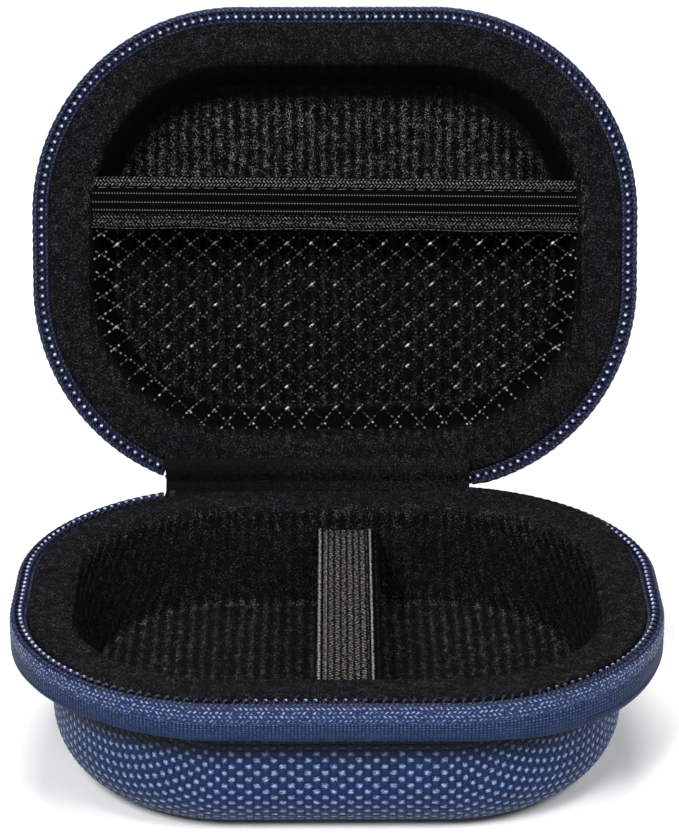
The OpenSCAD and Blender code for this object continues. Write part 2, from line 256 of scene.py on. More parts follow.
class Ring:
    """Samples round the outline whose straight runs match a rectangular block that fills the middle."""

    def __init__(self, step):
        self.nx = round(2 * CORE_X / step)
        self.ny = round(2 * CORE_Y / step)
        corner = round(math.pi / 2 * (CORNER_R - RING_INSET) / step)
        counts = [self.nx, corner, self.ny, corner] * 2
        self.t = np.concatenate(
            [np.linspace(knots[i], knots[i + 1], n, endpoint=False) for i, n in enumerate(counts)]
        )
        self.n = len(self.t)
        self.core, self.normal = outline(self.t)
        starts = np.cumsum([0] + counts)
        self.sides = [(starts[k], starts[k + 1]) for k in (0, 2, 4, 6)]

    def middle_index(self, first_row, first_inner):
        """Indices of the block's vertices: its border is the innermost ring's straight runs."""
        index = np.zeros((self.nx + 1, self.ny + 1), int)
        inner = np.arange((self.nx - 1) * (self.ny - 1)).reshape(self.nx - 1, self.ny - 1)
        index[1:-1, 1:-1] = first_inner + inner
        back, right, front, left = self.sides
        index[:, 0] = first_row + np.arange(back[0], back[1] + 1)
        index[-1, :] = first_row + np.arange(right[0], right[1] + 1)
        index[::-1, -1] = first_row + np.arange(front[0], front[1] + 1)
        index[0, ::-1] = first_row + np.arange(left[0], left[1] + 1) % self.n
        index[0, 0] = first_row + back[0]
        return index

    def skin(self, section, side, relief, shift=None):
        """Vertices, fabric coordinates and faces of one face of a half, from its edge to the middle."""
        d, z = section[:, 0], section[:, 1]
        step = np.linalg.norm(np.diff(section, axis=0), axis=1)
        run = np.concatenate([[0], np.cumsum(step)])
        left = run[-1] - run
        slope_d, slope_z = np.gradient(d, run), np.gradient(z, run)
        length = np.hypot(slope_d, slope_z)
        out, up = -side * slope_z / length, -side * slope_d / length
        reach = (CORNER_R - d)[:, None]
        xy = self.core[None] + self.normal[None] * reach[..., None]
        fabric = self.core[None] + self.normal[None] * left[:, None, None]
        t = np.broadcast_to(self.t, xy.shape[:2])
        lift = relief(fabric[..., 0], fabric[..., 1], t, d[:, None] + 0 * t, z[:, None] + 0 * t)
        level = np.broadcast_to(z[:, None], xy.shape[:2])
        if shift:
            out_by, up_by = shift(t, d[:, None])
            xy = xy + self.normal[None] * out_by[..., None]
            level = level + up_by
        points = np.concatenate([xy, level[..., None]], -1)
        across = self.normal[None] * out[:, None, None]
        upward = np.broadcast_to(up[:, None, None], xy.shape[:2] + (1,))
        points = points + lift[..., None] * np.concatenate([across, upward], -1)
        rows = len(d)
        bx = np.linspace(-CORE_X, CORE_X, self.nx + 1)[1:-1]
        by = np.linspace(CORE_Y, -CORE_Y, self.ny + 1)[1:-1]
        bx, by = np.meshgrid(bx, by, indexing="ij")
        flat = np.full(bx.shape, z[-1])
        rise = relief(bx, by, 0 * bx, flat * 0 + CORNER_R, flat)
        block = np.stack([bx, by, flat - side * np.sign(slope_d[-1]) * rise], -1)
        verts = np.concatenate([points.reshape(-1, 3), block.reshape(-1, 3)])
        cloth = np.concatenate([fabric.reshape(-1, 2), np.stack([bx, by], -1).reshape(-1, 2)]) / 100
        faces = grid_quads(rows - 1, self.n, wrap_cols=True)
        last = (rows - 2) * self.n
        quads, tris = [faces], []
        i = np.arange(self.n)
        j = (i + 1) % self.n
        straight = np.zeros(self.n, bool)
        corner_of = np.zeros(self.n, int)
        for k, (a, b) in enumerate(self.sides):
            straight[a:b] = True
            following = self.sides[(k + 1) % 4][0] if k < 3 else self.n
            corner_of[b:following] = b
        s = i[straight]
        inner = last + self.n
        quads.append(np.stack([last + s, last + j[s], inner + j[s], inner + s], -1))
        c = i[~straight]
        tris.append(np.stack([last + c, last + j[c], inner + corner_of[c]], -1))
        index = self.middle_index(inner, rows * self.n)
        middle = np.stack([index[:-1, :-1], index[1:, :-1], index[1:, 1:], index[:-1, 1:]], -1)
        quads.append(middle.reshape(-1, 4))
        return verts, cloth, np.concatenate(quads), np.concatenate(tris)


def still(a, *_):
    """Relief of a plain face."""
    return 0 * a


def half_shell(name, ring, front, back, side, relief, place, material, body, nodes, clamp=False,
               shift=None):
    """A closed shell of a half: a detailed face, a plain back face, and the edge between them."""
    v1, u1, q1, t1 = ring.skin(front, side, relief, shift)
    v2, u2, q2, t2 = ring.skin(back, side, still)
    n = len(v1)
    edge = np.arange(ring.n)
    after = (edge + 1) % ring.n
    rim = np.stack([edge, n + edge, n + after, after], -1)
    quads = np.concatenate([q1, q2[:, ::-1] + n, rim])
    tris = np.concatenate([t1, t2[:, ::-1] + n])
    verts = np.concatenate([v1, v2])
    if clamp:
        behind = (verts[:, 0] > ZIP_LEFT) & (verts[:, 0] < ZIP_RIGHT)
        verts[:, 1] = np.where(behind, np.minimum(verts[:, 1], HINGE_CUT_Y), verts[:, 1])
    used = np.unique(np.concatenate([quads.ravel(), tris.ravel()]))
    renumber = np.zeros(len(verts), int)
    renumber[used] = np.arange(len(used))
    uv = np.concatenate([u1, u2])[used]
    make(name, place(verts[used]), [renumber[quads], renumber[tris]], material, body, uv, nodes)


def sweep(name, section, t, place, material, body, nodes=(), relief=None, wobble=None):
    """A closed section swept along the outline from t[0] to t[-1], with capped ends."""
    core, normal = outline(t)
    section = np.asarray(section, float)
    m = len(section)
    loop = np.concatenate([section, section[:1]])
    run = np.concatenate([[0], np.cumsum(np.linalg.norm(np.diff(loop, axis=0), axis=1))])[:-1]
    following = np.roll(section, -1, 0)
    tangent = following - np.roll(section, 1, 0)
    tangent /= np.linalg.norm(tangent, axis=1)[:, None]
    area = np.sum(section[:, 0] * following[:, 1] - following[:, 0] * section[:, 1])
    turn = np.sign(area)
    normal_d, normal_z = turn * tangent[:, 1], -turn * tangent[:, 0]
    tt, ss = np.meshgrid(t, run, indexing="ij")
    d = np.broadcast_to(section[:, 0], tt.shape)
    z = np.broadcast_to(section[:, 1], tt.shape)
    lift = relief(tt, ss, d, z) if relief else 0 * tt
    d, z = d + lift * normal_d, z + lift * normal_z
    if wobble:
        d, z = wobble(tt, d, z)
    xy = core[:, None] + normal[:, None] * (CORNER_R - d)[..., None]
    xy[..., 1] = np.minimum(xy[..., 1], HINGE_Y - 0.05)
    verts = np.concatenate([xy, z[..., None]], -1)
    quads = grid_quads(len(t), m, wrap_cols=True)
    uv = np.stack([tt, ss], -1).reshape(-1, 2) / 100
    caps = np.array([np.arange(m)[::-1], (len(t) - 1) * m + np.arange(m)])
    make(name, place(verts.reshape(-1, 3)), [quads, caps], material, body, uv, nodes)


def tubes(paths, radii, sides=6):
    """Vertices and faces of round tubes along paths (count, n, 3)."""
    paths = np.asarray(paths, float)
    count, n, _ = paths.shape
    tangent = np.gradient(paths, axis=1)
    tangent /= np.linalg.norm(tangent, axis=2)[..., None]
    up = np.zeros_like(tangent)
    up[..., 2] = 1
    steep = np.abs(tangent[..., 2]) > 0.9
    up[steep] = [1, 0, 0]
    side = np.cross(tangent, up)
    side /= np.linalg.norm(side, axis=2)[..., None]
    up = np.cross(side, tangent)
    a = np.linspace(0, 2 * np.pi, sides, endpoint=False)
    radii = np.broadcast_to(radii, (count, n))[..., None, None]
    ring = side[:, :, None] * np.cos(a)[:, None] + up[:, :, None] * np.sin(a)[:, None]
    verts = (paths[:, :, None] + radii * ring).reshape(-1, 3)
    one = grid_quads(n, sides, wrap_cols=True)
    caps = np.array([np.arange(sides)[::-1], (n - 1) * sides + np.arange(sides)])
    shift = (np.arange(count) * n * sides)[:, None, None]
    return verts, (one[None] + shift).reshape(-1, 4), (caps[None] + shift).reshape(-1, sides)


def slab(name, low, high, u, v, material, body, slot, nodes):
    """A closed slab between two faces, each a grid of points (n, m, 3), with cloth coordinates u, v."""
    n, m = low.shape[:2]
    q = grid_quads(n, m)
    count = n * m
    left = np.arange(n - 1) * m
    right = left + m - 1
    near = np.arange(m - 1)
    far = (n - 1) * m + near
    edges = [
        np.stack([left, left + m, left + m + count, left + count], -1),
        np.stack([right, right + count, right + m + count, right + m], -1),
        np.stack([near, near + count, near + 1 + count, near + 1], -1),
        np.stack([far, far + 1, far + 1 + count, far + count], -1),
    ]
    verts = np.concatenate([high.reshape(-1, 3), low.reshape(-1, 3)])
    quads = np.concatenate([q, q[:, ::-1] + count] + edges)
    uv = np.stack([u, v], -1).reshape(-1, 2) / 100
    return make(name, verts, [quads], material, body, np.concatenate([uv, uv]), nodes)


# ---- Materials ----


def tint(r, g, b):
    """Linear colour of an sRGB colour given in 0 to 255."""
    c = np.array([r, g, b]) / 255
    return tuple(np.where(c <= 0.04045, c / 12.92, ((c + 0.055) / 1.055) ** 2.4)) + (1.0,)


class Look:
    """A node material, built with short calls."""

    def __init__(self, name, roughness=0.8, specular=0.3):
        self.material = bpy.data.materials.new(name)
        self.material.use_nodes = True
        self.tree = self.material.node_tree
        self.shader = self.tree.nodes["Principled BSDF"]
        self.shader.inputs["Roughness"].default_value = roughness
        self.shader.inputs["Specular IOR Level"].default_value = specular

    def put(self, socket, value):
        if isinstance(value, bpy.types.NodeSocket):
            self.tree.links.new(value, socket)
        else:
            socket.default_value = value

    def node(self, kind, out=0, named=None, **settings):
        n = self.tree.nodes.new(kind)
        for key, value in settings.items():
            setattr(n, key, value)
        for key, value in (named or {}).items():
            self.put(n.inputs[key], value)
        return n.outputs[out]

    def math(self, operation, a, b=0.0, c=0.0):
        return self.node("ShaderNodeMath", named={0: a, 1: b, 2: c}, operation=operation)

    def times(self, a, b):
        return self.math("MULTIPLY", a, b)

    def plus(self, a, b):
        return self.math("ADD", a, b)

    def minus(self, a, b):
        return self.math("SUBTRACT", a, b)

    def scale_add(self, a, scale, b):
        return self.math("MULTIPLY_ADD", a, scale, b)

    def size(self, a):
        return self.math("ABSOLUTE", a)

    def from_core(self, a, b):
        """Distance of cloth coordinates from the rectangle of the outline's corner axes."""
        past = [
            self.math("POWER", self.math("MAXIMUM", self.minus(self.size(c), edge), 0.0), 2.0)
            for c, edge in ((a, CORE_X), (b, CORE_Y))
        ]
        return self.math("SQRT", self.plus(*past))

    def split(self, vector, scale, axes):
        n = self.tree.nodes.new("ShaderNodeSeparateXYZ")
        self.tree.links.new(vector, n.inputs[0])
        return [self.times(n.outputs[k], scale) for k in axes]

    def cloth(self):
        """The two cloth coordinates in millimetres."""
        return self.split(self.node("ShaderNodeUVMap", uv_map="cloth"), 100.0, (0, 1))

    def flat_cloth(self):
        """Millimetres across and up, for pieces with no cloth coordinates of their own."""
        return self.split(self.place(), 1000.0, (0, 2))

    def place(self):
        return self.node("ShaderNodeTexCoord", out=3)

    def vector(self, x, y, z=0.0):
        return self.node("ShaderNodeCombineXYZ", named={0: x, 1: y, 2: z})

    def noise(self, vector, scale, detail=2.0, roughness=0.55):
        named = {"Vector": vector, "Scale": scale, "Detail": detail, "Roughness": roughness}
        return self.node("ShaderNodeTexNoise", named=named)

    def spread(self, value, low, high, to_low=0.0, to_high=1.0):
        named = {0: value, 1: low, 2: high, 3: to_low, 4: to_high}
        return self.node("ShaderNodeMapRange", named=named, clamp=True)

    def mix(self, factor, a, b):
        return self.node("ShaderNodeMix", out=2, named={0: factor, 6: a, 7: b}, data_type="RGBA")

    def wave(self, value, pitch):
        """0 to 1 and back over each pitch."""
        s = self.math("SINE", self.times(value, 2 * math.pi / pitch))
        return self.scale_add(s, 0.5, 0.5)

    def colour(self, value):
        self.put(self.shader.inputs["Base Color"], value)

    def rough(self, value):
        self.put(self.shader.inputs["Roughness"], value)

    def bump(self, height, distance):
        named = {"Height": height, "Distance": distance * MM, "Strength": 1.0}
        self.put(self.shader.inputs["Normal"], self.node("ShaderNodeBump", named=named))


# Repeats of the weaves, shared by materials and relief
WEAVE_A, WEAVE_B = 1.25, 1.1
WEAVE_DEPTH = 0.2
TAPE_ROW = 0.66
TAPE_SLANT = 0.55
TAPE_PICK = 0.74
STRAP_PICK = 0.54


def woven_nylon():
    """Coarse plain weave: painted highlights on the crowns of the level yarns, upright yarns and gaps
    stay dark, and a painted shadow darkens it under the binding.
    """
    look = Look("woven_nylon", roughness=0.5, specular=0.1)
    a, b = look.cloth()
    sin_a = look.math("SINE", look.times(a, math.pi / WEAVE_A))
    sin_b = look.math("SINE", look.times(b, math.pi / WEAVE_B))
    both = look.times(sin_a, sin_b)
    over = look.spread(both, -0.25, 0.3)
    crown_a = look.math("POWER", look.size(sin_a), 0.7)
    crown_b = look.math("POWER", look.size(sin_b), 0.7)
    upright = look.times(crown_a, look.minus(1.0, over))
    level = look.times(crown_b, over)
    height = look.math("MAXIMUM", upright, level)
    slanted = look.scale_add(a, 2.4, look.times(b, 4.0))
    crossing = look.scale_add(b, 2.4, look.times(a, -1.4))
    fibre = look.noise(look.vector(slanted, crossing), 1.0, 3.0, 0.65)
    patch = look.noise(look.vector(a, b), 0.12, 3.0)
    deep = look.mix(look.spread(patch, 0.35, 0.65), tint(6, 18, 46), tint(10, 26, 58))
    yarn = look.mix(over, tint(16, 33, 68), tint(33, 54, 92))
    body = look.mix(look.spread(fibre, 0.35, 0.65), look.mix(0.6, yarn, tint(8, 24, 58)), yarn)
    ground = look.mix(look.spread(height, 0.25, 0.8), deep, body)
    # Painted highlights: a pale colour on the crowns of the level yarns stands for their glints.
    crown = look.spread(look.scale_add(fibre, 3.4, both), 2.05, 2.95)
    cloth = look.mix(crown, ground, tint(126, 145, 183))
    # Painted shadow under the binding: near the flange the cloth is darkened almost to black.
    run = look.from_core(a, b)
    binding_shadow = look.spread(run, BINDING_SHADOW_RUN - 3.3, BINDING_SHADOW_RUN - 1.0, 0.0, 0.94)
    look.colour(look.mix(binding_shadow, cloth, tint(4, 8, 20)))
    look.rough(look.spread(fibre, 0.3, 0.7, 0.5, 0.34))
    look.bump(look.scale_add(fibre, 0.6, height), 0.14)
    return look.material


def knit_lining(name, ribbed, wall_shade, spill, net_shade_from=1000.0):
    """Brushed black knit: grey flecks, in ribs on the floor, and smooth and darkened by painted shade on
    the walls.

    The painted shade of the walls reaches onto the floor by up to spill millimetres along the front,
    as the lip's shadow. Past the last argument, a cloth coordinate, the knit is darkened too, as
    painted shade of the net over it.
    """
    look = Look(name, roughness=0.9, specular=0.03)
    a, b = look.cloth()
    run = look.from_core(a, b)
    inside = look.spread(run, FLANGE_RUN - 1, FLANGE_RUN + 1, 1.0, 0.0)
    spot = look.place()
    drift = look.noise(spot, 150.0, 2.0)
    rib = look.wave(look.scale_add(drift, 0.9, a), RIB_PITCH)
    # Painted shade of the walls, from the floor's edge to the lip, pushed further onto the floor towards
    # the front as the lip's shadow; it dims the flecks there.
    wider = look.spread(b, -38.0, 0.0, spill, 0.0)
    from_floor = look.spread(look.plus(run, wider), FLOOR_RUN, FLOOR_RUN + 2.0)
    to_lip = look.spread(look.scale_add(wider, -0.6, run), LIP_RUN, LIP_RUN + 3.5, 1.0, 0.0)
    wall = look.times(from_floor, to_lip)
    ribbing = look.times(inside, look.scale_add(wall, -0.6, 1.0))
    furrow = look.times(ribbing, look.minus(1.0, rib))
    # A painted highlight along the floor's edge: more flecks in a thin line where the floor turns up into
    # the wall.
    turn = look.spread(look.size(look.minus(run, FLOOR_RUN - 0.6)), 0.0, 1.0, 0.05, 0.0)
    grain = look.noise(spot, 4000.0, 2.0, 0.8)
    tufts = look.noise(spot, 700.0, 2.0, 0.6)
    mixed = look.plus(look.scale_add(tufts, 0.26, grain), turn)
    fleck = look.spread(look.scale_add(furrow, -0.08, mixed), 0.66, 0.88)
    fleck = look.times(fleck, look.scale_add(wall, -wall_shade, 1.0))
    dark = look.mix(furrow, tint(6, 6, 7), tint(4, 4, 4))
    # Painted shade of the net: past the last argument's cloth coordinate the ribs take a dark colour.
    under_net_shade = look.spread(b, net_shade_from - 1.0, net_shade_from + 1.0, 0.0, 0.72)
    ribs = look.mix(under_net_shade, ribbed, tint(6, 6, 6))
    pale = look.mix(inside, tint(54, 53, 56), ribs)
    look.colour(look.mix(fleck, dark, pale))
    look.bump(look.scale_add(tufts, 0.8, grain), 0.16)
    return look.material


def zip_tape(flat=False):
    """Navy tape: slanted bright picks over a deep ground, dying out towards its lower edge; the top face
    has a darker ground and fainter picks as painted shade.
    """
    look = Look("zip_tape_flat" if flat else "zip_tape", roughness=0.5, specular=0.15)
    t, s = look.flat_cloth() if flat else look.cloth()
    grain = look.noise(look.vector(look.times(t, 1.3), look.times(s, 2.0)), 1.0, 3.0)
    drift = look.scale_add(grain, 0.5, t)
    slant = look.times(look.math("PINGPONG", look.times(s, 1 / TAPE_ROW), 1.0), TAPE_SLANT)
    picks = look.wave(look.plus(drift, slant), TAPE_PICK)
    rows = look.spread(look.wave(s, TAPE_ROW), 0.05, 0.6)
    knot = look.times(look.times(picks, rows), look.spread(grain, 0.38, 0.58, 0.25, 1.0))
    ground = look.mix(look.spread(grain, 0.35, 0.65), tint(11, 22, 52), tint(27, 43, 80))
    mark = look.spread(knot, 0.35, 0.8)
    if not flat:
        # Painted shade: the top face, towards the rim plane, gets a darker ground and fainter picks than
        # the outer face.
        facing = look.spread(s, 3.5, 4.3)
        ground = look.mix(facing, tint(6, 9, 32), ground)
        ends = look.times(look.spread(s, 5.2, 6.4, 1.0, 0.35), look.spread(facing, 0.0, 1.0, 0.22, 1.0))
        mark = look.times(mark, ends)
    look.colour(look.mix(mark, ground, tint(122, 142, 184)))
    look.bump(look.scale_add(picks, 0.4, knot), 0.12)
    return look.material


def ribbon():
    """Steel-blue binding ribbon: fine dotted ribs that die out towards its rounded lower edge."""
    look = Look("binding_ribbon", roughness=0.55, specular=0.05)
    t, s = look.cloth()
    rib = look.wave(t, 0.54)
    dots = look.wave(s, 0.38)
    patch = look.noise(look.vector(look.times(t, 0.25), s), 1.0, 3.0)
    fine = look.noise(look.vector(look.times(t, 2.0), look.times(s, 3.0)), 1.0, 2.0)
    lower = look.mix(look.spread(patch, 0.35, 0.65), tint(14, 25, 47), tint(22, 35, 61))
    base = look.mix(look.spread(s, 0.3, 2.4), tint(11, 21, 46), lower)
    mark = look.times(look.times(rib, dots), look.spread(fine, 0.4, 0.6, 0.2, 1.0))
    strength = look.times(mark, look.spread(s, 0.5, 3.0, 0.9, 0.12))
    look.colour(look.mix(strength, base, tint(78, 96, 134)))
    look.bump(look.scale_add(mark, 0.6, rib), 0.05)
    return look.material


def moulded(name, dark, light, roughness, specular=0.5, scale=260.0):
    """Moulded plastic: a faint mottle and slightly uneven gloss."""
    look = Look(name, specular=specular)
    mottle = look.noise(look.place(), scale, 3.0)
    look.colour(look.mix(look.spread(mottle, 0.35, 0.65), dark, light))
    look.rough(look.spread(mottle, 0.3, 0.7, roughness - 0.06, roughness + 0.1))
    look.bump(look.noise(look.place(), 1400.0, 2.0), 0.012)
    return look.material


def coil_nylon():
    """Glossy navy monofilament, with a painted highlight on the head of each turn."""
    look = Look("zip_coil", roughness=0.45, specular=0.2)
    head, _ = look.cloth()
    mottle = look.noise(look.place(), 500.0, 2.0)
    shade = look.mix(look.spread(mottle, 0.35, 0.65), tint(5, 8, 30), tint(10, 15, 46))
    # Painted highlight: the pale colour on each turn's head stands for its glint.
    head_glint = look.times(look.times(head, 0.01), look.spread(mottle, 0.32, 0.58, 0.3, 1.0))
    look.colour(look.mix(head_glint, shade, tint(180, 192, 224)))
    look.bump(look.noise(look.place(), 1400.0, 2.0), 0.01)
    return look.material


def painted_metal():
    """Navy enamel on a cast slider, with a little metal showing on the worn spots."""
    look = Look("painted_metal", roughness=0.3, specular=0.5)
    wear = look.spread(look.noise(look.place(), 420.0, 4.0, 0.7), 0.68, 0.74)
    shade = look.spread(look.noise(look.place(), 160.0, 2.0), 0.35, 0.65)
    paint = look.mix(shade, tint(26, 38, 78), tint(40, 54, 98))
    look.colour(look.mix(wear, paint, tint(150, 152, 158)))
    look.put(look.shader.inputs["Metallic"], wear)
    look.rough(look.spread(look.noise(look.place(), 700.0, 3.0), 0.3, 0.7, 0.24, 0.42))
    look.bump(look.noise(look.place(), 900.0, 3.0), 0.02)
    return look.material


def elastic(name, zones, lines, edges, pitch, column, bright):
    """Woven elastic: herringbone in its zones, dotted cords on the lines and solid cords at the edges.

    Each zone is (from, to, strength) across it, and each line and edge (place, half width, strength).
    """
    look = Look(name, roughness=0.7, specular=0.01)
    u, v = look.cloth()
    grain = look.noise(look.vector(look.times(u, 2.6), look.times(v, 2.6)), 1.0, 3.0, 0.7)
    zig = look.times(look.math("PINGPONG", look.times(v, 1 / column), 1.0), pitch * 0.9)
    picks = look.wave(look.plus(look.scale_add(grain, 0.12, u), zig), pitch)
    gaps = look.spread(look.wave(v, column), 0.0, 0.6, 0.45, 1.0)
    woven = look.times(look.times(picks, gaps), look.spread(grain, 0.38, 0.6, 0.2, 1.0))
    mark = 0.0
    for low, high, strength in zones:
        rising = look.spread(v, low - 0.12, low + 0.12)
        falling = look.spread(v, high - 0.12, high + 0.12, strength, 0.0)
        mark = look.math("MAXIMUM", mark, look.times(woven, look.times(rising, falling)))
    dots = look.spread(look.wave(u, 0.45), 0.15, 0.7)
    solid = look.spread(grain, 0.38, 0.6, 0.3, 1.0)
    for cords, yarn in ((lines, dots), (edges, solid)):
        for at, half, strength in cords:
            near = look.spread(look.size(look.minus(v, at)), 0.0, half, strength, 0.0)
            mark = look.math("MAXIMUM", mark, look.times(near, yarn))
    look.colour(look.mix(look.spread(mark, 0.25, 0.95), tint(4, 4, 4), bright))
    look.bump(look.scale_add(woven, 0.8, grain), 0.08)
    return look.material


def strand():
    """Black polyester yarn of the net, with painted highlights on its beads and knots."""
    look = Look("net_yarn", roughness=0.75, specular=0.02)
    bead, _ = look.cloth()
    twist = look.noise(look.place(), 1800.0, 2.0)
    # Painted highlights: the near-white colour on beads and knots stands for their glints.
    pale = look.times(look.times(bead, 0.01), look.spread(twist, 0.42, 0.6))
    look.colour(look.mix(pale, tint(3, 3, 3), tint(200, 200, 202)))
    look.bump(twist, 0.05)
    return look.material


def smooth_fabric(name, dark, light, roughness, fleck=None):
    """Close fabric of the hinge strips, napped towards its right end where it has a fleck colour."""
    look = Look(name, roughness=roughness, specular=0.04)
    u, v = look.cloth()
    rib = look.wave(u, 0.5)
    cross = look.wave(v, 0.5)
    patch = look.noise(look.vector(look.times(u, 0.3), v), 1.0, 3.0)
    shade = look.mix(look.spread(patch, 0.35, 0.65), dark, light)
    if fleck:
        grain = look.noise(look.place(), 3300.0, 2.0, 0.8)
        nap = look.spread(u, -16.0, 10.0, 0.2, 1.0)
        shade = look.mix(look.times(look.spread(grain, 0.5, 0.72), nap), shade, fleck)
    look.colour(shade)
    look.bump(look.times(rib, cross), 0.03)
    return look.material


def foam():
    look = Look("foam", roughness=0.9, specular=0.1)
    cells = look.noise(look.place(), 2400.0, 2.0)
    look.colour(look.mix(look.spread(cells, 0.35, 0.65), tint(30, 30, 32), tint(52, 52, 55)))
    look.bump(cells, 0.1)
    return look.material


NYLON = woven_nylon()
# The same knit in both halves: the lid's floor gets paler ribbed flecks as painted light and its walls a
# stronger wall_shade, and its wall shade spills onto the floor and under the net.
BASE_KNIT = knit_lining("base_knit", tint(80, 79, 81), 0.55, 0.0)
LID_KNIT = knit_lining("lid_knit", tint(128, 127, 129), 0.95, 6.0, BAND_LOW_Y)
TAPE = zip_tape()
TAPE_FLAT = zip_tape(flat=True)
RIBBON = ribbon()
COIL = coil_nylon()
STOP = moulded("zip_stop", tint(6, 7, 14), tint(12, 14, 26), 0.45)
METAL = painted_metal()
STRAP = elastic(
    "strap_elastic",
    zones=[(0.95, 8.1, 0.95), (9.2, 9.9, 0.45)],
    lines=[(1.5, 0.2, 0.7)],
    edges=[(0.42, 0.5, 0.9), (8.55, 0.35, 1.0), (9.85, 0.15, 0.35)],
    pitch=STRAP_PICK,
    column=1.0,
    bright=tint(137, 134, 131),
)
BAND = elastic(
    "band_elastic",
    zones=[(0.1, 1.7, 1.0), (6.2, 8.4, 0.75)],
    lines=[(2.85, 0.2, 0.75), (4.3, 0.2, 0.75), (5.6, 0.2, 0.75)],
    edges=[(8.55, 0.2, 0.7)],
    pitch=0.6,
    column=0.6,
    bright=tint(118, 114, 113),
)
NET = strand()
THREAD = moulded("thread", tint(14, 24, 56), tint(34, 50, 92), 0.5, 0.4, 900.0)
DARK_THREAD = moulded("dark_thread", tint(12, 12, 12), tint(60, 59, 58), 0.6, 0.3, 900.0)
INNER = smooth_fabric("hinge_inner", tint(2, 2, 2), tint(5, 5, 5), 0.8, tint(40, 39, 41))
OUTER = smooth_fabric("hinge_outer", tint(20, 32, 64), tint(30, 44, 80), 0.55)
FOAM = foam()


# ---- Covers and linings ----


def weave_height(a, b):
    sin_a, sin_b = np.sin(np.pi * a / WEAVE_A), np.sin(np.pi * b / WEAVE_B)
    over = np.clip(0.5 + sin_a * sin_b / 0.6, 0, 1)
    return np.maximum(np.abs(sin_a) ** 0.7 * (1 - over), np.abs(sin_b) ** 0.7 * over)


def cover(name, height, edge_r, fine_middle, place, body, nodes):
    fine = resample(body_face(height, edge_r), COVER_STEP)
    flat_from = fine[-1]
    middle_step = COVER_STEP if fine_middle else 1.4
    middle = resample([tuple(flat_from), (CORNER_R, flat_from[1])], middle_step)[1:]
    front = np.concatenate([fine, middle])
    inner = resample(body_face(height, edge_r, COVER_T), 1.2)
    back = np.concatenate([inner, [[CORNER_R, COVER_T - height]]])

    def relief(a, b, t, d, z):
        fade = 1.0 if fine_middle else np.clip((z + height) / 1.5, 0.0, 1.0)
        under = np.clip((d - 2.2) / 1.0, 0.0, 1.0)
        return (weave_height(a, b) - 0.5) * WEAVE_DEPTH * fade * under

    half_shell(
        name, Ring(COVER_STEP), front, back, 1, relief, place, NYLON, body, nodes,
        clamp=True,
    )


def lining(name, hollow, place, material, body, nodes, shift=None):
    front = resample(lining_face(hollow) + [(CORNER_R, -hollow)], LINING_STEP)
    back = np.concatenate([resample(lining_face(hollow, 0.5), 1.5), [[CORNER_R, -hollow - 0.5]]])
    back[:, 1] = np.where(back[:, 0] > LIP_D + LEAN + 1, -hollow - 0.5, back[:, 1])

    def relief(a, b, t, d, z):
        inside = np.clip((d - LIP_D + 1.5) / 2.0, 0.0, 1.0)
        on_floor = np.clip((d - LIP_D - LEAN) / 1.3, 0.3, 1.0)
        rib = np.sin(2 * np.pi * (a + 0.45) / RIB_PITCH) * 0.1 * on_floor
        loops = np.cos(2 * np.pi * b / 0.9 + np.pi * np.sign(rib)) * 0.03
        spokes = np.cos(2 * np.pi * t / 1.05) * 0.05
        crown = np.cos(2 * np.pi * (d - LINING_EDGE) / 2.6) * 0.03
        edge = np.clip((d - LINING_EDGE) / 0.6, 0.2, 1.0)
        tufts = rng.normal(0, 0.022, a.shape)
        return ((rib + loops) * inside + (spokes + crown) * (1 - inside) + tufts) * edge

    half_shell(
        name, Ring(LINING_STEP), front, back, -1, relief, place, material, body, nodes,
        shift=shift,
    )


cover("base_cover_weave", BASE_H, BASE_EDGE_R, False, place_base, "base", ["base_cover"])
cover("lid_cover_weave", LID_H, LID_EDGE_R, True, place_lid, "lid", ["lid_cover"])


def ease(x):
    x = np.clip(x, 0.0, 1.0)
    return x * x * (3 - 2 * x)


def tucked(t):
    """How far the teeth are tucked under the lining along the front, from 0 to 1."""
    core, normal = outline(t)
    x = core[..., 0] + normal[..., 0] * CORNER_R
    seen = ease((x + 15.0) / 4.0) * ease((5.0 - x) / 4.0)
    return ease((-normal[..., 1] - 0.6) / 0.3) * ease((34.0 - x) / 6.0) * (1 - seen)


def over_the_zip(t, d):
    """How far the lining's edge rides out and up over the teeth, at the hinge's right and in front."""
    along = ease((t - 14.0) / 8.0) * ease((62.0 - t) / 16.0) + 0.75 * tucked(t)
    near = np.clip((5.0 - d) / 3.75, 0.0, 1.0)
    return 1.5 * along * near, 0.42 * along * ease(near * 1.5)


lining("base_lining_knit", BASE_HOLLOW, place_base, BASE_KNIT, "base", ["base_lining"], over_the_zip)
lining("lid_lining_knit", LID_HOLLOW, place_lid, LID_KNIT, "lid", ["lid_lining"])


# ---- Zip tape, binding, coil and stitches ----

t_right = CORE_X + CORNER_R * math.asin((TAPE_END_RIGHT - CORE_X) / CORNER_R)
t_left = knots[-1] - CORNER_R * math.asin((-TAPE_END_LEFT - CORE_X) / CORNER_R)
zip_run = np.linspace(t_right, t_left, 780)


def tape_outline():
    return np.concatenate([
        resample([(1.7, -1.5), (1.7, -1.3), (-0.5, -1.3)], 0.4),
        resample(arc((TAPE_EDGE + 0.8, -1.25), 0.8, 90, 180, 9), 0.14),
        resample([(TAPE_EDGE, -1.4), (TAPE_EDGE - 0.03, -2.4), (TAPE_EDGE, SEAM_Z - 0.1)], 0.2),
        resample([(-1.0, SEAM_Z - 0.3), (-0.6, SEAM_Z - 0.3), (-0.6, -1.6), (0.2, -1.6)], 0.5),
    ])


